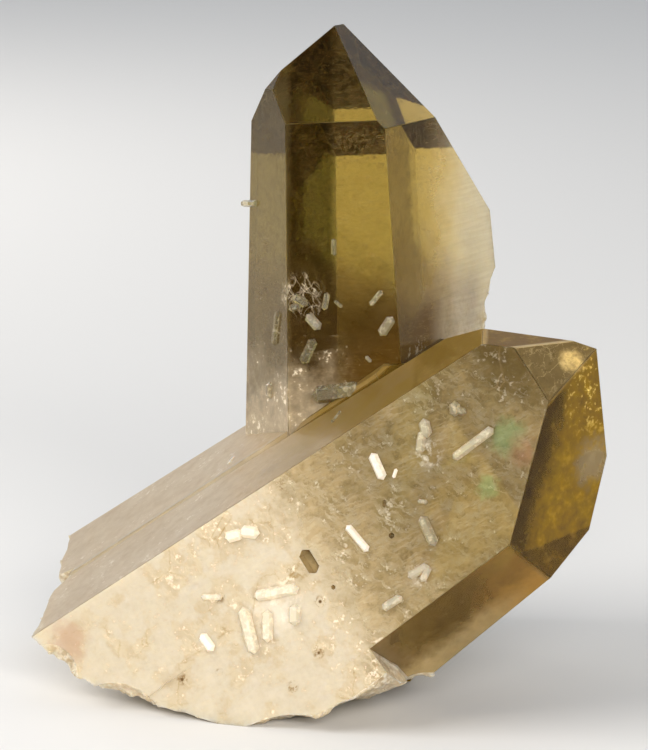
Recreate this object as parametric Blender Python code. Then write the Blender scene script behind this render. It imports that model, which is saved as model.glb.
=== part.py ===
"""Citrine crystals: two clear quartz crystals grown together on one broken, milky root.

A tall crystal stands upright and a stout one leans out in front of it. A third one lies along
the back of the stout one, with its tip hidden behind the tall one. Small crystals lie on their
faces. All of it grew as one piece, so it is one closed solid. Every crystal is a block, cut down
by its six prism faces and its six tip faces at the angles that quartz grows with.
"""
import math

import bmesh
import bpy
from mathutils import Matrix, Vector, noise

# Every length below is in millimetres, from a point on the table under the tall crystal's left part.
# The whole specimen is then moved, so that the middle of its box stands over 0, 0, 0.
MM = 0.001
MIDDLE_OF_BOX = (-0.26, 5.2)
# The angle between a crystal's long axis and a line square to a tip face, the same in any quartz
TIP_FACE_ANGLE = 51.8
FACE_STEP = 60.0
# The block that a crystal is cut from
BLOCK = 130.0

# Each crystal: a point on its long axis, where the axis points, where its first prism face looks,
# how many degrees each prism face slopes inward toward the tip, and how far the faces lie from
# that point, each 60 degrees round the axis from the last
UPRIGHT = dict(centre=(2.8, 14.7, 61.5), axis=(-0.041, 0.036, 0.998), front=(-0.032, -0.999, 0.035),
               narrowing=3.1, prism=(10.1, 10.9, 22.6, 17.9, 9.6, 10.8),
               tip=(14.5, 14.5, 15.7, 16.6, 13.9, 17.4))
LEANING = dict(centre=(14.3, -6.1, 26.2), axis=(0.777, -0.148, 0.612), front=(-0.365, -0.898, 0.247),
               narrowing=3.5, prism=(12.0, 20.8, 14.4, 13.5, 13.5, 15.2),
               tip=(22.4, 18.9, 20.0, 14.9, 18.3, 23.1))
# The third crystal is parallel to the leaning one, behind it and a hair's breadth prouder on top
BEHIND = dict(LEANING, centre=(12.5, 9.7, 32.2), prism=(12.0, 11.0, 11.5, 11.0, 9.5, 11.1),
              tip=(11.0, 11.5, 12.0, 11.5, 11.0, 11.0))
# The leaning crystal's lower front face lies this far out above its root, where it steps outward
FLANK = 17.6
FLANK_STEP = -14.4

# Small crystals that grew on the faces later: the crystal and the prism face that each lies on,
# how far along the axis and across the face its middle is, its length, its width and its turn
SMALL = (
    (UPRIGHT, 5, -15.9, -2.9, 4.8, 0.9, 167), (UPRIGHT, 5, -0.4, 4.7, 4.2, 0.9, 96),
    (UPRIGHT, 5, -24.3, -1.3, 2.2, 1.1, 1), (UPRIGHT, 0, -14.8, 3.7, 2.7, 1.3, 39),
    (UPRIGHT, 0, -12.2, 2.0, 2.4, 0.8, 166), (UPRIGHT, 0, -18.6, 4.5, 3.7, 1.3, 153),
    (UPRIGHT, 0, -12.0, -4.5, 2.5, 0.7, 138), (UPRIGHT, 0, -15.7, -5.7, 3.0, 1.3, 145),
    (UPRIGHT, 0, -24.1, 1.0, 6.7, 2.3, 95), (UPRIGHT, 0, -19.9, -3.2, 1.1, 0.5, 42),
    (UPRIGHT, 0, -5.2, 0.7, 2.3, 0.7, 178), (UPRIGHT, 0, -12.6, 0.4, 1.4, 0.5, 47),
    (UPRIGHT, 0, -12.0, 5.3, 2.4, 1.2, 56), (UPRIGHT, 0, -12.8, 6.0, 1.8, 1.0, 110),
    (LEANING, 0, 11.5, 5.1, 2.1, 1.4, 57), (LEANING, 0, 12.0, 4.4, 1.6, 1.0, 130),
    (LEANING, 0, 7.0, 5.2, 2.6, 1.5, 70), (LEANING, 0, 5.6, 4.1, 3.0, 1.2, 48),
    (LEANING, 0, 11.1, 0.1, 6.5, 1.2, 2), (LEANING, 0, -0.8, 4.7, 3.8, 1.3, 82),
    (LEANING, 0, 0.6, 2.7, 1.3, 0.5, 38), (LEANING, 0, -7.9, -1.4, 4.4, 1.0, 98),
    (LEANING, 0, 0.3, -5.8, 4.3, 1.4, 83), (LEANING, 0, 1.7, -2.3, 1.4, 0.6, 141),
    (LEANING, 0, -3.5, -9.3, 3.1, 1.1, 175), (LEANING, 0, -2.9, -10.1, 2.3, 1.0, 30),
    (LEANING, 0, -8.5, -10.7, 3.1, 1.1, 178), (LEANING, 0, -21.4, 8.0, 2.6, 1.5, 160),
    (LEANING, 0, -19.4, 7.2, 2.8, 1.6, 140), (LEANING, 0, -31.7, -1.4, 2.8, 1.3, 95),
    (LEANING, 0, -20.5, -1.2, 6.2, 1.5, 157), (LEANING, 0, -26.2, -3.2, 6.3, 1.7, 72),
    (LEANING, 0, -23.8, -4.1, 4.3, 1.5, 57), (LEANING, 0, -20.0, -4.9, 2.9, 1.6, 57),
    (LEANING, 0, -28.1, 3.1, 2.9, 0.8, 147), (LEANING, 5, -4.2, 2.8, 2.5, 0.5, 64),
    (LEANING, 5, -21.5, 11.2, 2.0, 0.8, 62),
)
# Hollows that lost small crystals left in the face, given the same way
HOLLOWS = (
    (LEANING, 0, -14.8, -0.3, 3.7, 1.8, 90), (LEANING, 0, -4.0, -3.6, 0.9, 0.8, 57),
    (LEANING, 0, -2.6, 0.3, 1.0, 0.6, 57), (LEANING, 0, -13.9, -4.8, 0.7, 0.6, 57),
)
# How much of a small crystal's width its middle stands above the face, or below it in a hollow
SMALL_RISE = 0.08
SMALL_POINT = 0.35
HOLLOW_SINK = -0.1

# Shell-shaped chips knocked off the edges: the middle of each ball that scoops one, and its radius
CHIPS = (((-27.5, -18.5, -2.0), 8.6), ((-36.5, -14.0, 5.0), 6.8), ((-31.0, -15.6, -1.5), 5.6))

# The broken surfaces: the spacing of their points, the size and depth of their scallops, and the
# size and height of the grit on them
BREAK_CELL = 1.2
SCALLOP = 6.5
SCALLOP_DEPTH = 1.1
GRIT_SIZE = 2.0
GRIT_HEIGHT = 0.25

# The broken underside is flat where it rests and climbs away from there in slanted planes. Each is a
# point of the table, the plane's height there, and its climb for each millimetre right and back.
UNDERSIDE = dict(left_end=((-35.8, -7.4), 7.7, (-0.67, 0.375)),
                 left_end_behind=((-33.7, 18.0), 13.7, (-1.6, 0.2)),
                 front_left=((-12.0, 0.0), 0.0, (-0.19, 0.0)),
                 front_right=((-9.0, -18.0), -0.42, (0.302, -0.29)),
                 back=((0.0, 16.0), 0.0, (0.0, 0.7)))
UNDERSIDE_SPAN = ((-60.0, 42.0), (-30.0, 42.0))
# The roughness grows from nothing to its full depth between these heights of the slanted planes
ROUGH_FROM, ROUGH_TO = -1.0, 2.0
# Where the resting flat is, the broken surface is kept this far under it
BELOW_FLAT = -2.0
# Left of the root a notch parts the leaning crystal from the one behind it: how far back its middle
# is, how wide and deep it is, and the x where it starts and where it has its full depth
NOTCH_BACK, NOTCH_WIDTH, NOTCH_DEPTH = 7.0, 1.4, 4.0
NOTCH_START, NOTCH_FULL = -26.0, -29.0
# The end of the crystal behind takes over from the leaning one's between these distances back
TAKEOVER = (6.5, 9.5)

# The tall crystal's broken right side: heights above the table, and how far right it reaches there
BROKEN_SIDE = ((-5.0, 11.5), (0.0, 12.5), (20.0, 20.0), (40.0, 21.2), (46.0, 22.2), (54.0, 24.5),
               (62.0, 28.0))
BROKEN_SIDE_SPAN = ((-12.0, 36.0), (-5.0, 62.0))
BROKEN_SIDE_ROUGHNESS = 0.55
# Its roughness is read from another stretch of the same pattern, this far off
ELSEWHERE = 70.0


def frame_of(crystal):
    """The crystal's own directions: its front, its side and its axis, square to each other."""
    axis = Vector(crystal["axis"]).normalized()
    front = Vector(crystal["front"])
    front = (front - axis * front.dot(axis)).normalized()
    return front, axis.cross(front), axis


def outward(crystal, number, lean):
    """The direction square to a face, lean degrees up from square to the axis."""
    front, side, axis = frame_of(crystal)
    turn = math.radians(FACE_STEP * number)
    around = front * math.cos(turn) + side * math.sin(turn)
    return around * math.cos(math.radians(lean)) + axis * math.sin(math.radians(lean))


def faces_of(crystal):
    """Each face of a crystal as its outward direction and its distance from the centre."""
    for number, distance in enumerate(crystal["prism"]):
        yield outward(crystal, number, crystal["narrowing"]), distance
    for number, distance in enumerate(crystal["tip"]):
        yield outward(crystal, number, 90.0 - TIP_FACE_ANGLE), distance


def cut_flat(shape, point, direction):
    """Cut everything beyond a plane off a closed shape and close it with a flat face."""
    everything = shape.verts[:] + shape.edges[:] + shape.faces[:]
    cut = bmesh.ops.bisect_plane(shape, geom=everything, plane_co=point, plane_no=direction,
                                 dist=1e-9, clear_outer=True)
    rim = [part for part in cut["geom_cut"] if isinstance(part, bmesh.types.BMEdge)]
    if rim:
        bmesh.ops.edgeloop_fill(shape, edges=rim)


def new_object(name, shape, parent):
    """A named object from a finished shape, with its faces turned outward."""
    bmesh.ops.recalc_face_normals(shape, faces=shape.faces[:])
    mesh = bpy.data.meshes.new(name)
    shape.to_mesh(mesh)
    shape.free()
    made = bpy.data.objects.new(name, mesh)
    bpy.context.scene.collection.objects.link(made)
    made.parent = parent
    return made


def make_guide(made):
    """Mark an object as one that only shapes another."""
    made.hide_render = True
    made.display_type = "WIRE"
    return made


def join_or_cut(target, other, operation, solver="EXACT"):
    """Let a guide object be joined to the target, or cut from it."""
    boolean = target.modifiers.new(f"{operation.lower()} {other.name}", "BOOLEAN")
    boolean.operation = operation
    boolean.solver = solver
    boolean.object = other


def crystal_object(name, crystal, parent):
    """One crystal: a block cut down by each of its faces in turn."""
    shape = bmesh.new()
    centre = Vector(crystal["centre"]) * MM
    bmesh.ops.create_cube(shape, size=BLOCK * MM, matrix=Matrix.Translation(centre))
    for direction, distance in faces_of(crystal):
        cut_flat(shape, centre + direction * distance * MM, direction)
    return new_object(name, shape, parent)


def flank_block(name, parent):
    """A block whose one side lies along the leaning crystal's flank and whose end makes its step."""
    out = outward(LEANING, 1, LEANING["narrowing"])
    axis = frame_of(LEANING)[2]
    upward = (axis - out * axis.dot(out)).normalized()
    turned = Matrix((upward, out.cross(upward), out)).transposed().to_4x4()
    middle = Vector(LEANING["centre"]) + out * (FLANK + 0.5 * BLOCK) + upward * (FLANK_STEP + 0.5 * BLOCK)
    shape = bmesh.new()
    bmesh.ops.create_cube(shape, size=BLOCK * MM, matrix=Matrix.Translation(middle * MM) @ turned)
    return make_guide(new_object(name, shape, parent))


def table_block(name, parent):
    """A block that fills everything below the plane the specimen rests on."""
    shape = bmesh.new()
    bmesh.ops.create_cube(shape, size=2.0 * BLOCK * MM, matrix=Matrix.Translation((0.0, 0.0, -BLOCK * MM)))
    return make_guide(new_object(name, shape, parent))


def on_face(crystal, number, along, across, rise, turn):
    """The place of a small thing on a prism face: lengthways is its X, and its Z looks out."""
    out = outward(crystal, number, crystal["narrowing"])
    axis = frame_of(crystal)[2]
    up_face = (axis - out * axis.dot(out)).normalized()
    over_face = out.cross(up_face)
    foot = Vector(crystal["centre"]) + out * (crystal["prism"][number] + rise)
    place = foot + up_face * along + over_face * across
    angle = math.radians(turn)
    length_way = up_face * math.cos(angle) + over_face * math.sin(angle)
    turned = Matrix((length_way, out.cross(length_way), out)).transposed().to_4x4()
    return Matrix.Translation(place * MM) @ turned


def small_crystal(name, spot, rise, parent):
    """A six-sided prism with a point at each end, lying on a face of its host. Its middle is rise
    times its width above that face."""
    host, number, along, across, length, width, turn = spot
    shape = bmesh.new()
    point = SMALL_POINT * width
    lying = Matrix.Rotation(math.radians(90.0), 4, "Y")
    radius = 0.5 * width * MM
    bmesh.ops.create_cone(shape, cap_ends=True, segments=6, radius1=radius, radius2=radius,
                          depth=(length - 2.0 * point) * MM, matrix=lying)
    ends = [face for face in shape.faces if abs(face.normal.x) > 0.9]
    for tip in bmesh.ops.poke(shape, faces=ends)["verts"]:
        tip.co.x += math.copysign(point * MM, tip.co.x)
    place = on_face(host, number, along, across, rise * width, turn)
    bmesh.ops.transform(shape, matrix=place, verts=shape.verts[:])
    return make_guide(new_object(name, shape, parent))


def smooth_step(low, high, value):
    """0 at low, 1 at high and an even S between, held beyond both."""
    part = min(max((value - low) / (high - low), 0.0), 1.0)
    return part * part * (3.0 - 2.0 * part)


def break_relief(place):
    """Shell-like scoops with ridges between, and grit on top, for a broken quartz surface."""
    nearest = noise.voronoi(place / SCALLOP)[0][0]
    grit = noise.fractal(place / GRIT_SIZE, 0.6, 2.0, 3)
    return SCALLOP_DEPTH * (0.5 - 2.0 * nearest * nearest) + GRIT_HEIGHT * grit


def slanted(name, x, y):
    """How high one of the underside's slanted planes is above a point of the table."""
    (at_x, at_y), height, (climb_right, climb_back) = UNDERSIDE[name]
    return height + climb_right * (x - at_x) + climb_back * (y - at_y)


def underside(x, y):
    """How high the broken underside is above the table. Below 0 the specimen rests flat on it."""
    left_end = slanted("left_end", x, y)
    left_end += (slanted("left_end_behind", x, y) - left_end) * smooth_step(*TAKEOVER, y)
    others = [slanted(name, x, y) for name in ("front_left", "front_right", "back")]
    slope = max(BELOW_FLAT, left_end, *others)
    notch = NOTCH_DEPTH * math.exp(-((y - NOTCH_BACK) / NOTCH_WIDTH) ** 2)
    notch *= smooth_step(NOTCH_START, NOTCH_FULL, x)
    roughness = smooth_step(ROUGH_FROM, ROUGH_TO, slope) * break_relief(Vector((x, y, 0.0)))
    return slope + notch + roughness


def upright_side(y, z):
    """How far right the tall crystal reaches before its broken side, which slants in to its root."""
    reach = BROKEN_SIDE[-1][1]
    for (low, start), (high, end) in zip(BROKEN_SIDE, BROKEN_SIDE[1:]):
        if low <= z < high:
            reach = start + (end - start) * (z - low) / (high - low)
    return reach + BROKEN_SIDE_ROUGHNESS * break_relief(Vector((ELSEWHERE, y, z)))


def rough_block(name, span, height, far_side, place, parent):
    """A block with one broken side: a grid of points height(column, row) above the ground of its
    own frame. The block fills the way from there to far_side."""
    columns, rows = span
    shape = bmesh.new()
    count = [round((high - low) / BREAK_CELL) for low, high in (columns, rows)]
    bmesh.ops.create_grid(shape, x_segments=count[0], y_segments=count[1], size=0.5)
    for corner in shape.verts:
        column = columns[0] + (corner.co.x + 0.5) * (columns[1] - columns[0])
        row = rows[0] + (corner.co.y + 0.5) * (rows[1] - rows[0])
        corner.co = Vector((column, row, height(column, row))) * MM
    pulled = bmesh.ops.extrude_face_region(shape, geom=shape.faces[:])["geom"]
    for part in pulled:
        if isinstance(part, bmesh.types.BMVert):
            part.co.z = far_side * MM
    bmesh.ops.transform(shape, matrix=place, verts=shape.verts[:])
    return make_guide(new_object(name, shape, parent))


def chip_ball(name, middle, radius, parent):
    """A ball that scoops a shell-shaped chip."""
    shape = bmesh.new()
    bmesh.ops.create_icosphere(shape, subdivisions=4, radius=radius * MM,
                               matrix=Matrix.Translation(Vector(middle) * MM))
    return make_guide(new_object(name, shape, parent))


def smoky_citrine():
    """Clear quartz of a brownish yellow, smooth as it grew."""
    material = bpy.data.materials.new("smoky citrine quartz")
    material.use_nodes = True
    surface = material.node_tree.nodes["Principled BSDF"]
    surface.inputs["Base Color"].default_value = (0.62, 0.50, 0.26, 1.0)
    surface.inputs["Metallic"].default_value = 0.0
    surface.inputs["Roughness"].default_value = 0.08
    surface.inputs["IOR"].default_value = 1.55
    surface.inputs["Transmission Weight"].default_value = 0.85
    return material


def build():
    """The whole specimen as one solid."""
    for old in list(bpy.data.objects):
        bpy.data.objects.remove(old, do_unlink=True)
    specimen = bpy.data.objects.new("specimen", None)
    bpy.context.scene.collection.objects.link(specimen)
    specimen.location = Vector((-MIDDLE_OF_BOX[0], -MIDDLE_OF_BOX[1], 0.0)) * MM

    body = crystal_object("citrine_crystals", UPRIGHT, specimen)
    facing_right = Matrix(((0.0, 0.0, 1.0), (1.0, 0.0, 0.0), (0.0, 1.0, 0.0))).to_4x4()
    broken_side = rough_block("broken_side", BROKEN_SIDE_SPAN, upright_side, 0.5 * BLOCK, facing_right,
                              specimen)
    join_or_cut(body, broken_side, "DIFFERENCE")
    leaning = make_guide(crystal_object("leaning", LEANING, specimen))
    join_or_cut(leaning, flank_block("flank", specimen), "DIFFERENCE")
    join_or_cut(body, leaning, "UNION")
    join_or_cut(body, make_guide(crystal_object("behind", BEHIND, specimen)), "UNION")
    join_or_cut(body, table_block("table", specimen), "DIFFERENCE")
    for number, (middle, radius) in enumerate(CHIPS):
        join_or_cut(body, chip_ball(f"chip_{number}", middle, radius, specimen), "DIFFERENCE")
    # From here on the exact solver leaves gaps in the body, so the manifold one cuts and joins
    broken_base = rough_block("broken_base", UNDERSIDE_SPAN, underside, -0.5 * BLOCK, Matrix(), specimen)
    join_or_cut(body, broken_base, "DIFFERENCE", solver="MANIFOLD")
    for number, spot in enumerate(SMALL):
        small = small_crystal(f"small_{number}", spot, SMALL_RISE, specimen)
        join_or_cut(body, small, "UNION", solver="MANIFOLD")
    for number, spot in enumerate(HOLLOWS):
        hollow = small_crystal(f"hollow_{number}", spot, HOLLOW_SINK, specimen)
        join_or_cut(body, hollow, "DIFFERENCE", solver="MANIFOLD")
    body.data.materials.append(smoky_citrine())


build()
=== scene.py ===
"""The finish of a citrine specimen: clear smoky quartz crystals on a milky, broken root.

Lengths are in millimetres until a mesh is made. Places are in the frame of the solid: the table is
z = 0 and the viewer looks along +Y.
"""
import math

import bmesh
import bpy
import numpy as np
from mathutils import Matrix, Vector


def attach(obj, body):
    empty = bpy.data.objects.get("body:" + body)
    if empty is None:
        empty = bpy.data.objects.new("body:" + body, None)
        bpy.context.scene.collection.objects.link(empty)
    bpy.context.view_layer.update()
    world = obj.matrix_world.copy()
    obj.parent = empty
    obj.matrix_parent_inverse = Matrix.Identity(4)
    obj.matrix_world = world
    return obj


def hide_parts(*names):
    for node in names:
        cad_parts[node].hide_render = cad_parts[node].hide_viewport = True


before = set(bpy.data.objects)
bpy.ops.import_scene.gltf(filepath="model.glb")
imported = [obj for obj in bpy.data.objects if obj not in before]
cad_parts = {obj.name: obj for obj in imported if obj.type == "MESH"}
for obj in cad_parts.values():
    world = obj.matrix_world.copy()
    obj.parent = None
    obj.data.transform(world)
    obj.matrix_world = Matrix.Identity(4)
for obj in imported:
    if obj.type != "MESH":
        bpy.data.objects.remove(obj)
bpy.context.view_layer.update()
MM = 0.001

# The photo's camera: a long lens 12 degrees above the table. One pixel is an eighth of a
# millimetre at the target.
PHOTO_HEIGHT = 750
MM_PER_PIXEL = 0.125
CAMERA_TARGET = (0.96, -19.7, 44.3)
CAMERA_DISTANCE = 520.0
CAMERA_RISE = 12.0
SENSOR = 36.0

LEFT, UP, DOWN = (-1.0, 0.0, 0.0), (0.0, 0.0, 1.0), (0.0, 0.0, -1.0)
# The long axes of the two crystals, as unit vectors
TALL_AXIS = (-0.041, 0.036, 0.998)
LEANING_AXIS = (0.777, -0.148, 0.612)
TOWARDS_ROOT = tuple(-part for part in LEANING_AXIS)
# Which way the leaning crystal's faces look: the broad front one, the long ones above and below it,
# the small front one at the tip, and the small level one on top
BROAD_FACE = (-0.32, -0.91, 0.28)
UPPER_FACE = (-0.58, -0.1, 0.81)
LOWER_FACE = (0.31, -0.82, -0.49)
CAP_FACE = (0.19, -0.8, 0.57)
SUMMIT_FACE = (-0.0121, -0.1617, 0.9868)
# The broad face lies at least this far out, and the same face of the crystal behind doesn't
BROAD_FACE_OUT = 20.0
# How far up from square to its axis the two kinds of a crystal's faces lean, and how nearly a face
# has to lean the same
PRISM_LEAN, TIP_LEAN = 3.1, 38.2
LEAN_MATCH = 0.004

# How near points are that are one, how far apart in degrees the triangles of a flat face look, and
# how short an edge is that has collapsed
MERGED, FLAT, COLLAPSED = 0.002, 0.3, 0.0002
# Faces that look the same way and lie in one plane: the least cosine, and the farthest apart
SAME_WAY, SAME_PLANE = 0.99995, 0.02
# A face of a crystal is flat over more than this area, and a small crystal's isn't
FACET_AREA = 25.0
# So few smaller faces side by side are narrow faces of a large crystal, and not a small crystal
NARROW_FACES = 2
# So many are a broken surface
SMALLEST_BREAK = 100
# The least cosines of a face that rests on the table, and of one that looks as the broad face does
LEVEL, BROAD_MATCH = 0.999, 0.995

# The edges between faces wear by this much where they meet at more than this angle and are longer
# than this. Those of the small crystals are painted white, as thin lines of highlight.
SHARP = 8.0
EDGE_WEAR, SHORTEST_EDGE = 0.045, 1.2
SMALL_EDGE_WEAR, SHORTEST_SMALL_EDGE = 0.06, 0.5

# How white a small crystal is goes from 0 to 1, and a hollow that one left has this instead
HOLLOW = -1.0
# The small crystals that are white right through, and how near these places their middles are
WHITE_CRYSTALS = ((7.6, -20.1, 32.7), (5.1, -22.0, 23.8), (-13.7, -19.5, 10.0))
WHITE_REACH = 3.0

# The broken surfaces: how often each coarse edge is cut, the size and depth of their scoops, the
# width and height of the ripples in a scoop, and the size and height of the grit
BREAK_CUTS = 2
SCOOP, SCOOP_DEPTH = 3.4, 0.45
RIPPLE, RIPPLE_HEIGHT = 0.9, 0.07
GRIT, GRIT_HEIGHT = 0.8, 0.12
# Points lower than this stay where they are, the others stay above the table by this, and an edge
# sharper than this stays sharp
TABLE_POINT, TABLE_GAP, SHARP_BREAK = 0.001, 0.02, 35.0

# The clouds that every finish is drawn with: how wide blobs, mottle and fine grain are
CLOUD_SIZES = (5.0, 1.6, 0.6)
# Growth lines on the prism faces, and how high lines, blobs and fine grain stand on any face
LINE_LENGTH, LINE_SPACING = 7.0, 0.4
LINE_HEIGHT, BLOB_HEIGHT, GRAIN_HEIGHT = 0.001, 0.01, 0.002
# Clusters too fine to tell apart, which show as white bits under the broad face, and their radii
BURSTS = (((14.0, -21.7, 34.9), 2.8), ((13.0, -25.8, 20.1), 2.2), ((-4.5, -21.2, 15.2), 4.2))
# Faint stains in the broad face, a brown one at its left end, and the rainbow of a thin crack near
# the tip as painted reflection: middle, radius, how far the border wanders, strength and colour
STAINS_AND_CRACK_RAINBOW = (((-32.0, -13.8, 8.0), 3.6, 1.6, 0.6, "#b89880"),
          ((23.6, -24.2, 37.3), 3.2, 1.2, 0.55, "#a0c088"),
          ((21.3, -25.4, 31.2), 1.8, 0.8, 0.5, "#a4c48c"),
          ((25.4, -25.2, 36.0), 2.4, 0.9, 0.4, "#d09878"))

# What all the quartz takes from light that passes: its tint, and how much for each metre
ABSORPTION_TINT = "#d9daa4"
ABSORPTION = 78.0
QUARTZ_IOR = 1.55
# What its faces mirror is dim and brownish, as in the photo, where hardly any blue is left
MIRROR_TINT = "#b8966c"
# Light spreads about this far in the milk, and red farther than green and blue
SPREAD, SPREAD_SHARE, SPREAD_BY_COLOUR = 3.0, 0.6, (1.0, 0.8, 0.55)


def linear(code):
    """An sRGB hex code as a linear colour."""
    parts = [int(code[i:i + 2], 16) / 255.0 for i in (1, 3, 5)]
    return tuple(p / 12.92 if p <= 0.04045 else ((p + 0.055) / 1.055) ** 2.4 for p in parts) + (1.0,)


def add(tree, kind, links=None, out=0, **settings):
    """Add a node with its settings, its plain inputs and the sockets linked into it, and give one
    of its outputs, or the node itself where it has none."""
    node = tree.nodes.new(kind)
    for name, value in settings.items():
        setattr(node, name, value)
    for socket, value in (links or {}).items():
        if isinstance(value, bpy.types.NodeSocket):
            tree.links.new(value, node.inputs[socket])
        else:
            node.inputs[socket].default_value = value
    return node.outputs[out] if len(node.outputs) else node


def link_to_scene(made):
    bpy.context.scene.collection.objects.link(made)
    return made


def hashed(corners, seed):
    """Three even random numbers for each whole-number corner of a lattice, the same every time: its
    coordinates are multiplied by large odd numbers and mixed, and the low bits kept."""
    large = np.array((73856093, 19349663, 83492791))
    mixed = np.bitwise_xor.reduce(corners.astype(np.int64) * large, axis=-1) ^ seed * 40503
    out = []
    for turn in range(3):
        mixed = (mixed ^ (mixed >> 13)) * 1274126177 + turn * 7919 & 0xFFFFFFFF
        out.append((mixed & 0xFFFFFF) / float(0x1000000))
    return np.stack(out, axis=-1)


def soft_noise(points, size, seed):
    """Random values at the corners of a lattice of the given size, blended smoothly between, -1 to 1."""
    scaled = points / size
    base = np.floor(scaled)
    part = scaled - base
    part = part * part * (3.0 - 2.0 * part)
    value = np.zeros(len(points))
    for corner in np.ndindex(2, 2, 2):
        step = np.array(corner)
        weight = np.prod(np.where(step == 1, part, 1.0 - part), axis=1)
        value += weight * hashed(base + step, seed)[:, 0]
    return 2.0 * value - 1.0


def nearest_centre(points, size, seed):
    """How far each point is from the nearest of the random centres, one in each cell of a lattice."""
    scaled = points / size
    base = np.floor(scaled)
    nearest = np.full(len(points), np.inf)
    for corner in np.ndindex(3, 3, 3):
        cell = base + np.array(corner) - 1.0
        nearest = np.minimum(nearest, np.linalg.norm(cell + hashed(cell, seed) - scaled, axis=1))
    return nearest * size


def break_relief(points):
    """Scoops whose floors rise with the square of the distance from their middles, rings of ripples
    round the middles, and grit of two sizes, the finer half as high."""
    near = nearest_centre(points, SCOOP, 3)
    scoop = SCOOP_DEPTH * ((near / SCOOP) ** 2 * 2.0 - 0.5)
    rings = RIPPLE_HEIGHT * np.sin(near * 2.0 * math.pi / RIPPLE)
    grit = GRIT_HEIGHT * (soft_noise(points, GRIT, 5) + 0.5 * soft_noise(points, 0.45 * GRIT, 6))
    return scoop + rings + grit


def merged_copy(source):
    """The solid's surface with its triangles joined into whole flat faces."""
    shape = bmesh.new()
    shape.from_mesh(source.data)
    shape.faces.layers.float.new("veil")
    bmesh.ops.remove_doubles(shape, verts=shape.verts[:], dist=MERGED * MM)
    bmesh.ops.dissolve_limit(shape, angle_limit=math.radians(FLAT), verts=shape.verts[:],
                             edges=shape.edges[:])
    shape.normal_update()
    return shape


def find_facets(shape):
    """For each face, whether all the faces in its plane add up to a crystal's face."""
    normals = np.array([face.normal for face in shape.faces])
    middles = np.array([face.calc_center_median() for face in shape.faces]) / MM
    areas = np.array([face.calc_area() for face in shape.faces]) / MM ** 2
    offsets = np.einsum("ij,ij->i", normals, middles)
    same = (normals @ normals.T > SAME_WAY) & (abs(offsets[:, None] - offsets[None, :]) < SAME_PLANE)
    return (same * areas[None, :]).sum(axis=1) > FACET_AREA


def islands(faces):
    """Groups of the given faces that touch each other."""
    among, seen, groups = set(faces), set(), []
    for start in faces:
        if start in seen:
            continue
        group, waiting = [], [start]
        seen.add(start)
        while waiting:
            face = waiting.pop()
            group.append(face)
            for edge in face.edges:
                for other in edge.link_faces:
                    if other in among and other not in seen:
                        seen.add(other)
                        waiting.append(other)
        groups.append(group)
    return groups


# The finishes, as the numbers that the faces carry: the tall crystal's faces, the leaning one's broad
# face and its other faces, broken surfaces, small crystals, the worn edges of large ones, and the
# edges of small ones, painted white as highlight
TALL, BROAD, LEANING, BROKEN, SECOND, WORN, OUTLINE = range(7)


def rests(face):
    """Whether a face lies level under the root."""
    return face.normal.z < -LEVEL


def is_tall(face):
    """Whether a face looks as far from the tall crystal's axis as one of its own would."""
    rise = face.normal.dot(Vector(TALL_AXIS).normalized())
    own = [math.sin(math.radians(lean)) for lean in (PRISM_LEAN, TIP_LEAN)]
    return min(abs(rise - value) for value in own) < LEAN_MATCH


def is_broad(face):
    """Whether a face looks and lies as the leaning crystal's broad face does."""
    return (face.normal.dot(Vector(BROAD_FACE).normalized()) > BROAD_MATCH
            and face.normal.dot(face.calc_center_median()) > BROAD_FACE_OUT * MM)


def whiteness(group):
    """How white a small crystal is, mostly little and all the same for one crystal."""
    middle = sum((face.calc_center_median() for face in group), Vector()) / len(group) / MM
    if sum((face.calc_center_median() / MM - middle).dot(face.normal) for face in group) < 0.0:
        return HOLLOW
    if min((middle - Vector(place)).length for place in WHITE_CRYSTALS) < WHITE_REACH:
        return 1.0
    return 0.5 * hashed(np.round(np.array([middle]) * 2.0), 11)[0, 0] ** 2


def sort_faces(shape):
    """Give each face the number of its finish, and give the broken faces."""
    smaller = [face for face, flat in zip(shape.faces, find_facets(shape)) if not flat]
    groups = [group for group in islands(smaller) if len(group) > NARROW_FACES]
    for face in shape.faces:
        own = TALL if is_tall(face) else BROAD if is_broad(face) else LEANING
        face.material_index = BROKEN if rests(face) else own
    veil = shape.faces.layers.float["veil"]
    for group in groups:
        finish, white = BROKEN if len(group) > SMALLEST_BREAK else SECOND, whiteness(group)
        for face in group:
            face.material_index = finish
            face[veil] = white
    return [face for group in groups for face in group if face.material_index == BROKEN]


def wear_edges(shape):
    """Round the long edges between the crystals' faces, and the edges of the small crystals."""
    worn, outlines = [], []
    for edge in shape.edges:
        sides = [face.material_index for face in edge.link_faces]
        if len(sides) != 2 or not edge.is_convex or edge.calc_face_angle(0.0) < math.radians(SHARP):
            continue
        if max(sides) < BROKEN and edge.calc_length() > SHORTEST_EDGE * MM:
            worn.append(edge)
        elif min(sides) == SECOND and edge.calc_length() > SHORTEST_SMALL_EDGE * MM:
            outlines.append(edge)
    bmesh.ops.bevel(shape, geom=worn, offset=EDGE_WEAR * MM, segments=2, profile=0.6, affect="EDGES",
                    clamp_overlap=False, material=WORN)
    bmesh.ops.bevel(shape, geom=outlines, offset=SMALL_EDGE_WEAR * MM, segments=1, affect="EDGES",
                    clamp_overlap=True, material=OUTLINE)
    bmesh.ops.dissolve_degenerate(shape, dist=COLLAPSED * MM, edges=shape.edges[:])


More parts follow.
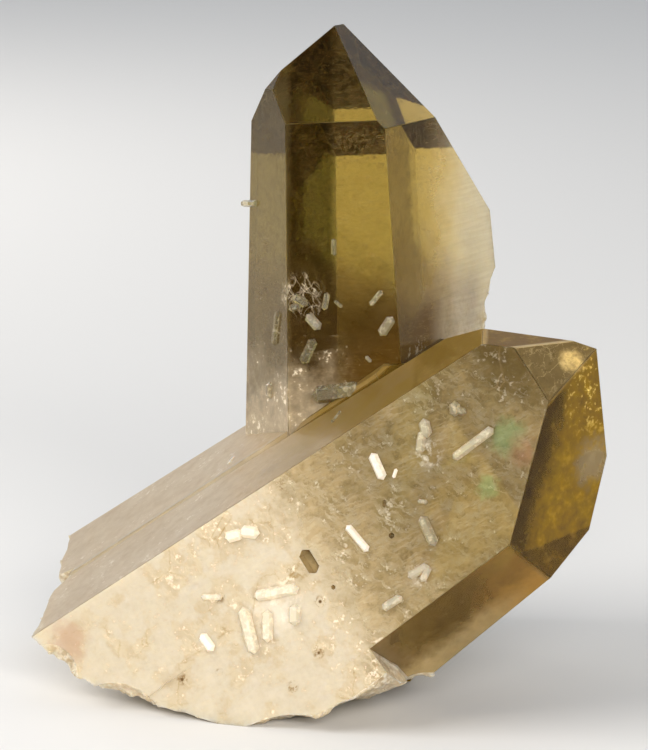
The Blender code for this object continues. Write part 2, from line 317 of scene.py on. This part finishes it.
def roughen(shape, broken):
    """Split the broken faces finely and move their inner points out and in by the relief."""
    split = bmesh.ops.triangulate(shape, faces=broken)
    edges = list(dict.fromkeys(edge for face in split["faces"] for edge in face.edges))
    bmesh.ops.subdivide_edges(shape, edges=edges, cuts=BREAK_CUTS, use_grid_fill=True)
    inner = [corner for corner in shape.verts if corner.co.z > TABLE_POINT * MM
             and all(face.material_index == BROKEN for face in corner.link_faces)]
    shape.normal_update()
    moves = break_relief(np.array([corner.co for corner in inner]) / MM) * MM
    for corner, move in zip(inner, moves):
        corner.co = corner.co + corner.normal * float(move)
        corner.co.z = max(corner.co.z, TABLE_GAP * MM)


def specimen_mesh():
    """The solid's surface, broken and worn, with the number of its finish on every face."""
    shape = merged_copy(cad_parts["citrine_crystals"])
    roughen(shape, [face for face in sort_faces(shape) if not rests(face)])
    wear_edges(shape)
    for edge in shape.edges:
        sides = {face.material_index for face in edge.link_faces}
        edge.smooth = sides == {BROKEN} and edge.calc_face_angle(0.0) < math.radians(SHARP_BREAK)
    finishes = [float(face.material_index) for face in shape.faces]
    for face in shape.faces:
        face.smooth = face.material_index == BROKEN
        face.material_index = 0
    mesh = bpy.data.meshes.new("crystals_finish")
    shape.to_mesh(mesh)
    shape.free()
    mesh.attributes.new("finish", "FLOAT", "FACE").data.foreach_set("value", finishes)
    return mesh


def total(tree, first, *terms):
    """A sum of first and of every term, and a term is the product of its amounts."""
    for amount, *others in terms:
        for other in others[:-1]:
            amount = add(tree, "ShaderNodeMath", {0: amount, 1: other}, operation="MULTIPLY")
        first = add(tree, "ShaderNodeMath", {0: amount, 1: others[-1], 2: first},
                    operation="MULTIPLY_ADD")
    return first


def layered(tree, colour, *layers):
    """A colour with others laid over it, each as far as the product of its amounts says."""
    for *amounts, over in layers:
        amount = amounts[0] if len(amounts) == 1 else total(tree, 0.0, amounts)
        colour = add(tree, "ShaderNodeMix", {0: amount, 6: colour, 7: linear(over)}, out=2,
                     data_type="RGBA")
    return colour


def fade(tree, place, towards, start, end, wander=0.0, reach=1.0):
    """0 before start and 1 past end, in millimetres along a direction, with a border that wanders."""
    far = add(tree, "ShaderNodeVectorMath", {0: place, 1: towards}, out=1, operation="DOT_PRODUCT")
    far = add(tree, "ShaderNodeMath", {0: wander, 1: reach, 2: far}, operation="MULTIPLY_ADD")
    return add(tree, "ShaderNodeMapRange", {"Value": far, "From Min": start, "From Max": end},
               interpolation_type="SMOOTHSTEP")


def patch(tree, place, middle, radius, wander=0.0, reach=1.0):
    """1 in the middle third of a round patch and 0 past its radius, with a border that wanders."""
    far = add(tree, "ShaderNodeVectorMath", {0: place, 1: middle}, out=1, operation="DISTANCE")
    far = add(tree, "ShaderNodeMath", {0: wander, 1: reach, 2: far}, operation="MULTIPLY_ADD")
    return add(tree, "ShaderNodeMapRange", {"Value": far, "From Min": radius, "From Max": 0.35 * radius},
               interpolation_type="SMOOTHSTEP")


def clouds(tree, place, size, detail=4.0):
    """Cloudy patches about this many millimetres across, from -1 to 1."""
    noise = add(tree, "ShaderNodeTexNoise", {"Vector": place, "Scale": 1.0 / size, "Detail": detail,
                                             "Roughness": 0.6})
    return add(tree, "ShaderNodeMapRange", {"Value": noise, "From Min": 0.25, "From Max": 0.75,
                                            "To Min": -1.0, "To Max": 1.0})


def specks(tree, place, spacing, size, share):
    """1 on small specks of this size, in a share of the cells of a lattice of this spacing."""
    near = add(tree, "ShaderNodeTexVoronoi", {"Vector": place, "Scale": 1.0 / spacing})
    pick = add(tree, "ShaderNodeSeparateColor", {0: near.node.outputs["Color"]})
    pick = add(tree, "ShaderNodeMath", {0: pick, 1: share}, operation="LESS_THAN")
    near = add(tree, "ShaderNodeMapRange", {"Value": near, "From Min": size / spacing,
                                            "From Max": 0.6 * size / spacing})
    return add(tree, "ShaderNodeMath", {0: near, 1: pick}, operation="MULTIPLY")


def growth_lines(tree, place, axis, length, spacing):
    """Fine lines across an axis: clouds of this length, squeezed along the axis to this spacing."""
    along = add(tree, "ShaderNodeVectorMath", {0: place, 1: axis}, out=1, operation="DOT_PRODUCT")
    push = add(tree, "ShaderNodeMath", {0: along, 1: length / spacing - 1.0}, operation="MULTIPLY")
    moved = add(tree, "ShaderNodeVectorMath", {0: axis, "Scale": push}, operation="SCALE")
    moved = add(tree, "ShaderNodeVectorMath", {0: place, 1: moved}, operation="ADD")
    return clouds(tree, moved, length, 3.0)


def shaken(tree, place, amount, reach):
    """Places moved to and fro by an amount, so that the lines drawn there wander."""
    move = add(tree, "ShaderNodeVectorMath", {0: tuple(reach * part for part in (0.5, 0.3, 0.6)),
                                              "Scale": amount}, operation="SCALE")
    return add(tree, "ShaderNodeVectorMath", {0: place, 1: move}, operation="ADD")


def fissures(tree, place, spacing, width):
    """1 on thin lines between the cells of a lattice of this spacing, like healed cracks."""
    edge = add(tree, "ShaderNodeTexVoronoi", {"Vector": place, "Scale": 1.0 / spacing},
               feature="DISTANCE_TO_EDGE")
    return add(tree, "ShaderNodeMapRange", {"Value": edge, "From Min": width / spacing, "From Max": 0.0})


def wisps(tree, place, across, length, spacing, width):
    """1 on thin wisps: the places where lines drawn out at right angles to a direction change sign."""
    crest = add(tree, "ShaderNodeMath", {0: growth_lines(tree, place, across, length, spacing)},
                operation="ABSOLUTE")
    return add(tree, "ShaderNodeMapRange", {"Value": crest, "From Min": width, "From Max": 0.0})


def sparkle(tree, blobs, mottle, fine, low, high):
    """1 on ragged bits, crowded here and sparse there, where fine and coarser patches peak together."""
    height = total(tree, 0.0, (fine, 0.8), (mottle, 0.5), (blobs, 0.5))
    return add(tree, "ShaderNodeMapRange", {"Value": height, "From Min": low, "From Max": high})


def moss(tree, mottle, fine, low):
    """Fine dust, thick in some places: 0 under a low value of the patches and 1 at their peaks."""
    return add(tree, "ShaderNodeMapRange", {"Value": total(tree, 0.0, (mottle, 0.5), (fine, 0.7)),
                                            "From Min": low, "From Max": low + 0.7})


# Each finish gives its milk, its tint and its roughness. Milk is 1 where the quartz is white inside
# and 0 where it is clear, and the tint is the colour of the milk and of what passes.

def tall_finish(tree, place, blobs, mottle, fine, lines):
    """Clear smoky quartz, seen right through: brown dust in the tip and in a collar under it, a dark
    left half and a darker zone low down, both painted shade, a white root, a tangle of white needles
    and a pale, ribbed right edge."""
    root = total(tree, 0.0, (fade(tree, place, DOWN, -46.0, -37.0, blobs, 4.0),
                             fade(tree, place, LEFT, -6.0, -1.0, blobs, 2.0)))
    edge = fade(tree, place, (1.0, 0.1, -0.12), 5.0, 15.0, blobs, 1.5)
    # Darker and browner low down in the crystal: painted shade.
    low_shade = fade(tree, place, (-0.35, 0.0, -1.0), -57.0, -50.0, blobs, 2.0)
    band = fade(tree, place, LEFT, 3.0, 4.0)
    # The left half darker: painted shade.
    shade = fade(tree, place, LEFT, -2.6, -1.6, mottle, 0.4)
    brown = total(tree, 0.0, (fade(tree, place, (0.55, 0.0, -0.85), -38.0, -31.0, blobs, 2.0),
                              fade(tree, place, LEFT, -18.5, -14.0, blobs, 1.0)))
    tip = fade(tree, place, (0.1, 0.0, 1.0), 75.5, 78.5, blobs, 1.5)
    ragged = total(tree, 0.0, (mottle, 1.2), (fine, 1.2))
    collar = total(tree, 0.0, (fade(tree, place, UP, 67.0, 70.5, ragged),
                               fade(tree, place, UP, 72.4, 71.6)))
    flakes = total(tree, 0.0, (sparkle(tree, blobs, mottle, fine, 0.5, 0.9),
                               fade(tree, place, (-0.4, 0.0, -1.0), -50.0, -42.0, blobs, 3.0)))
    scratches = total(tree, 0.0, (wisps(tree, place, TALL_AXIS, 4.0, 0.6, 0.12),
                                  total(tree, 0.25, (blobs, 0.3), (mottle, 0.35), (collar, 0.3))))
    needles = total(tree, wisps(tree, place, (0.8, 0.0, 0.6), 4.0, 1.3, 0.14),
                    (wisps(tree, place, (0.9, 0.0, -0.4), 4.5, 1.5, 0.14), 1.0))
    tangle = total(tree, 0.0, (needles, patch(tree, place, (-1.8, -1.4, 50.7), 3.8, mottle, 1.4)))
    dust = total(tree, 0.0, (moss(tree, mottle, fine, -0.15),
                             total(tree, 0.15, (tip, 0.8), (collar, 0.8), (low_shade, 0.3), (shade, 0.4))))
    milk = total(tree, 0.03, (dust, 0.15), (mottle, 0.01), (lines, 0.006), (band, 0.12), (low_shade, 0.08),
                 (root, 0.24), (root, mottle, 0.14), (edge, 0.32), (edge, lines, 0.05), (flakes, 0.3),
                 (scratches, 0.22), (brown, 0.3), (tangle, 0.25))
    tint = layered(tree, linear("#f3cb80"), (shade, 0.9, "#846634"), (low_shade, "#7e5e2c"),
                   (band, "#988458"), (edge, "#f8e8cc"), (brown, "#6c4c14"), (tip, 0.5, "#6c501c"),
                   (scratches, 0.7, "#a89458"), (dust, 0.8, "#5c4418"), (root, "#b0a084"),
                   (flakes, "#dcd0b8"), (tangle, 0.7, "#e0d2ba"))
    return milk, tint, total(tree, 0.04, (root, 0.2), (edge, 0.1))


def leaning_finish(tree, place, blobs, mottle, fine, lines):
    """Smoky quartz, milky towards the root and clear golden brown at the tip, with gold sparks, a bright
    spot near the top that is a painted reflection from a fracture, a dark zone behind the tip's front
    edge, a dull ridge and a frosted patch on the right."""
    far = fade(tree, place, TOWARDS_ROOT, -23.5, -5.0, blobs, 2.5)
    tip = fade(tree, place, LEANING_AXIS, 37.5, 38.5, blobs, 0.5)
    flank = total(tree, 0.0, (fade(tree, place, LEANING_AXIS, 38.0, 37.0),
                              fade(tree, place, LOWER_FACE, 17.5, 18.2)))
    cap = fade(tree, place, CAP_FACE, 48.7, 49.1)
    ridge = total(tree, 0.0, (fade(tree, place, UPPER_FACE, 28.7, 29.0),
                              fade(tree, place, LEANING_AXIS, 6.0, 20.0, blobs, 3.0)))
    summit = fade(tree, place, SUMMIT_FACE, 50.48, 50.56)
    gold = total(tree, 0.0, (tip, total(tree, 0.7, (blobs, 0.3), (mottle, 0.3))))
    bright = patch(tree, place, (36.0, -18.4, 43.4), 9.0, blobs, 2.0)
    sparks = total(tree, 0.0, (tip, sparkle(tree, blobs, mottle, fine, 0.2, 0.8),
                               total(tree, 0.1, (bright, 0.9), (cap, -0.6))))
    gloom = total(tree, 0.0, (tip, fade(tree, place, (-0.97, 0.0, 0.25), -21.0, -18.0, blobs, 1.2),
                              fade(tree, place, CAP_FACE, 49.0, 48.6),
                              total(tree, 0.55, (fade(tree, place, UPPER_FACE, 28.9, 28.6), 0.45))))
    lit = total(tree, 0.0, (flank, fade(tree, place, (0.574, 0.571, -0.591), -12.5, -8.5, mottle, 0.5)))
    glow = total(tree, 0.0, (flank, fade(tree, place, LEANING_AXIS, 27.0, 35.0, blobs, 2.0)))
    shade = total(tree, 0.0, (tip, fade(tree, place, (0.06, 0.11, -0.99), -24.5, -24.0)))
    # A bright spot on a crack near the top: painted reflection.
    crack_glint = total(tree, 0.0, (patch(tree, place, (31.8, -20.9, 46.3), 2.1, mottle, 0.6),
                              total(tree, 0.8, (fine, 0.5))))
    frost = patch(tree, place, (34.7, -18.6, 33.0), 4.2, mottle, 1.4)
    cracks = fissures(tree, shaken(tree, place, total(tree, mottle, (fine, 0.6)), 1.4), 1.7, 0.07)
    # The narrow face of a ledge along the upper faces, made paler: painted light where it lies in shade.
    groove_painted_light = total(tree, 0.0, (far, fade(tree, place, BROAD_FACE, 12.1, 12.7),
                               fade(tree, place, BROAD_FACE, 13.9, 13.3)))
    between_blobs = total(tree, 0.0, (blobs, -1.0))
    mist = total(tree, 0.0, (far, sparkle(tree, between_blobs, mottle, fine, 0.4, 1.0)))
    stain = total(tree, 0.0, (total(tree, far, (ridge, 1.0)),
                              total(tree, 0.2, (blobs, 0.3), (mottle, 0.3))))
    milk = total(tree, 0.15, (mottle, 0.05), (far, 0.5), (gold, 0.26), (sparks, 0.5), (crack_glint, 0.3),
                 (frost, 0.25), (lit, 0.2), (shade, -0.1), (cap, 0.35), (summit, 0.6), (ridge, 0.42),
                 (gloom, -0.12), (glow, 0.12), (cap, cracks, 0.08), (mist, 0.15), (groove_painted_light, 0.15))
    tint = layered(tree, linear("#b89040"), (gold, "#bc9410"), (ridge, "#9c8040"), (cap, "#7c6a46"),
                   (summit, "#b4a078"), (far, "#c1af92"), (stain, "#a08660"), (mist, 0.7, "#ece4d4"),
                   (groove_painted_light, "#b4a68e"), (lit, "#dcc088"), (glow, "#c09448"), (shade, "#9c7820"),
                   (gloom, "#6c5010"), (cap, cracks, 0.35, "#c8b488"), (sparks, "#f4d878"),
                   (crack_glint, "#d4b878"), (frost, "#a49068"))
    return milk, tint, total(tree, 0.05, (far, 0.33), (ridge, 0.25), (summit, 0.4), (frost, 0.25))


def broad_finish(tree, place, blobs, mottle, fine, lines):
    """The leaning crystal's broad face: cream and almost opaque towards the root, with a peach blush
    and healed cracks, khaki and cloudy towards the tip, with white flakes, veils and threads, brown
    specks and crazed marks, faint stains, and the painted rainbow of a thin fracture."""
    far = fade(tree, place, TOWARDS_ROOT, -34.0, -12.0, blobs, 3.0)
    cream = fade(tree, place, TOWARDS_ROOT, -19.5, -13.0, blobs, 4.0)
    khaki = fade(tree, place, LEANING_AXIS, 13.5, 19.5, blobs, 4.0)
    crown = fade(tree, place, (0.3, 0.0, 0.95), 46.0, 53.0, blobs, 2.0)
    dull = total(tree, 0.18, (blobs, 0.18), (mottle, 0.12), (fine, 0.06), (lines, 0.03))
    smudge = total(tree, 0.0, (khaki, total(tree, 0.25, (blobs, 0.4), (mottle, 0.25), (fine, 0.15))))
    flakes = total(tree, 0.0, (sparkle(tree, blobs, mottle, fine, 0.5, 0.8),
                               total(tree, 0.4, (cream, 0.4))))
    blush = total(tree, 0.0, (cream, sparkle(tree, mottle, blobs, fine, 0.3, 1.2)))
    peach = add(tree, "ShaderNodeMapRange", {"Value": blobs, "From Min": -0.05, "From Max": 0.15})
    white = patch(tree, place, (-7.0, -25.0, 15.0), 6.0, mottle, 2.0)
    moved = shaken(tree, place, mottle, 0.8)
    cracks = total(tree, 0.0, (fissures(tree, moved, 5.5, 0.14),
                               total(tree, 0.0, (blobs, 1.2), (mottle, 0.4))))
    crazed = fissures(tree, shaken(tree, place, total(tree, mottle, (fine, 0.8)), 1.5), 1.6, 0.22)
    marks = total(tree, 0.0, (crazed, specks(tree, place, 4.3, 0.9, 0.35)))
    dark = specks(tree, place, 4.3, 0.32, 0.3)
    bursts = total(tree, 0.0, *[(patch(tree, place, middle, radius, mottle, 0.6), 1.0)
                                for middle, radius in BURSTS])
    rays = total(tree, 0.0, (bursts, moss(tree, fine, mottle, -0.2)))
    veils = total(tree, 0.0, (wisps(tree, moved, (0.55, 0.28, 0.79), 6.0, 1.3, 0.3),
                              total(tree, 0.15, (blobs, 0.4), (mottle, 0.3), (crown, -0.4))))
    threads = total(tree, 0.0, (wisps(tree, moved, (0.36, -0.1, -0.93), 5.0, 0.9, 0.3),
                                total(tree, 0.15, (blobs, -0.3), (fine, 0.3))))
    milk = total(tree, 0.45, (far, 0.45), (smudge, -0.17), (flakes, 0.3), (white, 0.1), (crown, -0.05),
                 (veils, 0.15), (threads, 0.1), (cracks, 0.1), (rays, 0.25))
    tint = layered(tree, linear("#b8a070"), (far, "#c4b08c"), (cream, "#d0c6b2"),
                   (cream, peach, 0.35, "#c8b28c"), (dull, "#988450"), (smudge, "#8c7a50"),
                   (khaki, moss(tree, mottle, fine, 0.0), 0.35, "#786438"), (blush, "#c8a47c"),
                   (marks, "#8c7048"), (rays, "#ece4d4"), (white, "#dcd4c4"), (crown, "#907a4c"),
                   (cracks, "#a48c60"), (veils, "#e0d4b8"), (threads, "#d8ccb0"),
                   (flakes, "#e4dac4"), (dark, "#6a5030"))
    # Stains, and near the tip a thin crack's rainbow as painted reflection.
    for middle, radius, wander, strength, colour in STAINS_AND_CRACK_RAINBOW:
        stain = patch(tree, place, middle, radius, mottle, wander)
        tint = layered(tree, tint, (stain, strength, colour))
    return milk, tint, total(tree, 0.1, (far, 0.2))


def broken_finish(tree, place, blobs, mottle, fine, lines):
    """Conchoidal breaks through milky quartz: matt, pale and nearly opaque, with brown dust in them."""
    stain = moss(tree, mottle, fine, -0.3)
    grey = total(tree, 0.0, (stain, total(tree, 0.3, (blobs, 0.6))))
    milk = total(tree, 0.8, (mottle, 0.12), (grey, -0.3))
    tint = layered(tree, linear("#dccdb0"), (total(tree, 0.5, (blobs, 0.5)), "#eee4d0"),
                   (stain, 0.5, "#b89c6c"), (grey, "#a89068"))
    return milk, tint, total(tree, 0.34, (fine, 0.12))


def second_finish(tree, place, blobs, mottle, fine, lines):
    """Second growth: clear little crystals with white veils inside, all pale where they sit on the
    cream, and the brown hollows that others left."""
    white = add(tree, "ShaderNodeAttribute", out=2, attribute_name="veil")
    hollow = add(tree, "ShaderNodeMath", {0: white, 1: 0.5 * HOLLOW}, operation="LESS_THAN")
    cream = fade(tree, place, TOWARDS_ROOT, -17.5, -14.5, blobs, 3.0)
    on_broad = fade(tree, place, BROAD_FACE, 21.0, 24.0)
    veils = sparkle(tree, blobs, mottle, fine, 0.0, 0.9)
    milk = total(tree, 0.1, (white, 0.35), (white, on_broad, 0.2), (on_broad, 0.15), (veils, 0.35),
                 (cream, 0.5), (hollow, 0.7))
    tint = layered(tree, linear("#e8d8b4"), (cream, "#e6dac2"), (white, "#f4ead8"), (hollow, "#a08a60"))
    return milk, tint, total(tree, 0.06, (fine, 0.04))


def worn_finish(tree, place, blobs, mottle, fine, lines):
    """Edges of the large crystals, rubbed here and there to a fine frost."""
    milk = total(tree, 0.02, (mottle, 0.16))
    tint = layered(tree, linear("#b89858"), (total(tree, 0.1, (mottle, 0.5)), "#f4e8cc"))
    return milk, tint, total(tree, 0.42, (fine, 0.1))


def outline_finish(tree, place, blobs, mottle, fine, lines):
    """Edges of the small crystals, painted white as thin lines of highlight."""
    milk = total(tree, 0.5, (mottle, 0.3), (fine, 0.3))
    return milk, linear("#fffaf0"), total(tree, 0.15, (fine, 0.05))


def citrine():
    """Smoky citrine, grown and broken and never cut or polished: it gives the eye clear depths that
    turn golden brown with their thickness, dim sharp reflections off flat faces, and milk and veils
    under them. Light that crosses the solid has to leave by the material that it came in by, so one
    material holds every finish, and an attribute of the faces says which is where."""
    material = bpy.data.materials.new("smoky citrine")
    material.use_nodes = True
    tree = material.node_tree
    tree.nodes.clear()
    place = add(tree, "ShaderNodeTexCoord", out=3)
    place = add(tree, "ShaderNodeVectorMath", {0: place, "Scale": 1.0 / MM}, operation="SCALE")
    blobs, mottle, fine = (clouds(tree, place, size) for size in CLOUD_SIZES)
    chosen = add(tree, "ShaderNodeAttribute", out=2, attribute_name="finish")
    on_tall = add(tree, "ShaderNodeMath", {0: chosen, 1: float(TALL), 2: 0.5}, operation="COMPARE")
    across_leaning, across_tall = (growth_lines(tree, place, axis, LINE_LENGTH, LINE_SPACING)
                                   for axis in (LEANING_AXIS, TALL_AXIS))
    lines = add(tree, "ShaderNodeMix", {0: on_tall, 2: across_leaning, 3: across_tall})
    milk, tint, roughness = 0.0, (0.0, 0.0, 0.0, 1.0), 0.0
    for number, finish in {TALL: tall_finish, BROAD: broad_finish, LEANING: leaning_finish,
                           BROKEN: broken_finish, SECOND: second_finish, WORN: worn_finish,
                           OUTLINE: outline_finish}.items():
        here = add(tree, "ShaderNodeMath", {0: chosen, 1: float(number), 2: 0.5}, operation="COMPARE")
        own_milk, own_tint, own_roughness = finish(tree, place, blobs, mottle, fine, lines)
        milk = total(tree, milk, (here, own_milk))
        roughness = total(tree, roughness, (here, own_roughness))
        tint = add(tree, "ShaderNodeMix", {0: here, 6: tint, 7: own_tint}, out=2, data_type="RGBA")
    relief = total(tree, 0.0, (lines, LINE_HEIGHT), (blobs, BLOB_HEIGHT), (fine, GRAIN_HEIGHT))
    clear = add(tree, "ShaderNodeMath", {0: 1.0, 1: milk}, operation="SUBTRACT", use_clamp=True)
    normal = add(tree, "ShaderNodeBump", {"Height": relief, "Distance": MM, "Strength": 1.0})
    surface = add(tree, "ShaderNodeBsdfPrincipled", {
        "IOR": QUARTZ_IOR, "Metallic": 0.0, "Transmission Weight": clear, "Base Color": tint,
        "Roughness": roughness, "Normal": normal, "Specular Tint": linear(MIRROR_TINT),
        "Subsurface Weight": SPREAD_SHARE, "Subsurface Scale": SPREAD * MM,
        "Subsurface Radius": SPREAD_BY_COLOUR})
    volume = add(tree, "ShaderNodeVolumeAbsorption",
                 {"Color": linear(ABSORPTION_TINT), "Density": ABSORPTION})
    add(tree, "ShaderNodeOutputMaterial", {"Surface": surface, "Volume": volume})
    return material


def make_specimen():
    mesh = specimen_mesh()
    mesh.materials.append(citrine())
    made = link_to_scene(bpy.data.objects.new("crystals_finish", mesh))
    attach(made, "root")
    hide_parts("citrine_crystals")


def make_camera():
    data = bpy.data.cameras.new("camera")
    data.sensor_width = SENSOR
    data.lens = SENSOR * CAMERA_DISTANCE / (PHOTO_HEIGHT * MM_PER_PIXEL)
    data.clip_start, data.clip_end = 0.01, 20.0
    camera = link_to_scene(bpy.data.objects.new("camera", data))
    rise = math.radians(CAMERA_RISE)
    back = Vector((0.0, -math.cos(rise), math.sin(rise)))
    camera.location = (Vector(CAMERA_TARGET) + back * CAMERA_DISTANCE) * MM
    camera.rotation_euler = (math.radians(90.0 - CAMERA_RISE), 0.0, 0.0)
    bpy.context.scene.camera = camera


def make_floor():
    """A level board: a grid of points the same distance apart along x and along y. Its paint is pale
    and matt, and shows only soft shadows."""
    half_size, steps = 4.0, 9
    line = np.linspace(-half_size, half_size, steps)
    grid = np.stack(np.broadcast_arrays(line[None, :], line[:, None], 0.0), axis=-1)
    corner = (np.arange(steps - 1)[:, None] * steps + np.arange(steps - 1)).ravel()
    quads = np.stack([corner, corner + 1, corner + steps + 1, corner + steps], axis=-1).tolist()
    mesh = bpy.data.meshes.new("floor")
    mesh.from_pydata(grid.reshape(-1, 3).tolist(), [], quads)
    material = bpy.data.materials.new("matt painted board")
    material.use_nodes = True
    surface = material.node_tree.nodes["Principled BSDF"]
    surface.inputs["Base Color"].default_value = linear("#dfdfde")
    surface.inputs["Roughness"].default_value = 0.9
    mesh.materials.append(material)
    link_to_scene(bpy.data.objects.new("floor", mesh))


def area_light(name, place, aim, size, power, tint):
    """A soft box: its place, what it points at and its two sides in metres, and its watts."""
    data = bpy.data.lights.new(name, "AREA")
    data.shape = "RECTANGLE"
    data.size, data.size_y = size
    data.energy = power
    data.color = linear(tint)[:3]
    light = link_to_scene(bpy.data.objects.new(name, data))
    light.location = place
    light.rotation_euler = (Vector(aim) - Vector(place)).to_track_quat("-Z", "Y").to_euler()


def make_lights():
    """A window on the left, a board that fills from the front and a faint wash behind, in a dim room
    that is brightest high up behind the specimen. None stands where the broad face would mirror it."""
    area_light("window", (-0.62, -0.16, 0.52), (0.0, -0.02, 0.0), (0.6, 0.6), 5.7, "#fffaf4")
    area_light("fill_board", (0.18, -0.96, 0.42), (0.0, 0.0, 0.02), (0.7, 0.3), 11.6, "#fffaf4")
    area_light("back_wash", (-0.26, 0.42, 0.22), (-0.08, 0.5, 0.0), (0.2, 0.2), 0.5, "#fff8f0")
    world = bpy.data.worlds.new("dim room")
    world.use_nodes = True
    tree = world.node_tree
    tree.nodes.clear()
    high_behind = (0.0, 0.9, 0.44)
    lit = add(tree, "ShaderNodeVectorMath", {0: add(tree, "ShaderNodeTexCoord"), 1: high_behind}, out=1,
              operation="DOT_PRODUCT")
    strength = add(tree, "ShaderNodeMapRange", {"Value": lit, "From Min": -0.1, "From Max": 0.9,
                                                "To Min": 0.06, "To Max": 1.08},
                   interpolation_type="SMOOTHSTEP")
    background = add(tree, "ShaderNodeBackground", {"Color": linear("#d6dce4"), "Strength": strength})
    add(tree, "ShaderNodeOutputWorld", {"Surface": background})
    bpy.context.scene.world = world


def set_light_paths():
    """Let light turn inside the crystals as often as it has to, and show it as it is."""
    scene = bpy.context.scene
    scene.cycles.max_bounces = 18
    scene.cycles.transmission_bounces = 16
    scene.cycles.glossy_bounces = 16
    scene.cycles.transparent_max_bounces = 12
    scene.view_settings.view_transform = "Standard"


set_light_paths()
make_camera()
make_floor()
make_specimen()
make_lights()
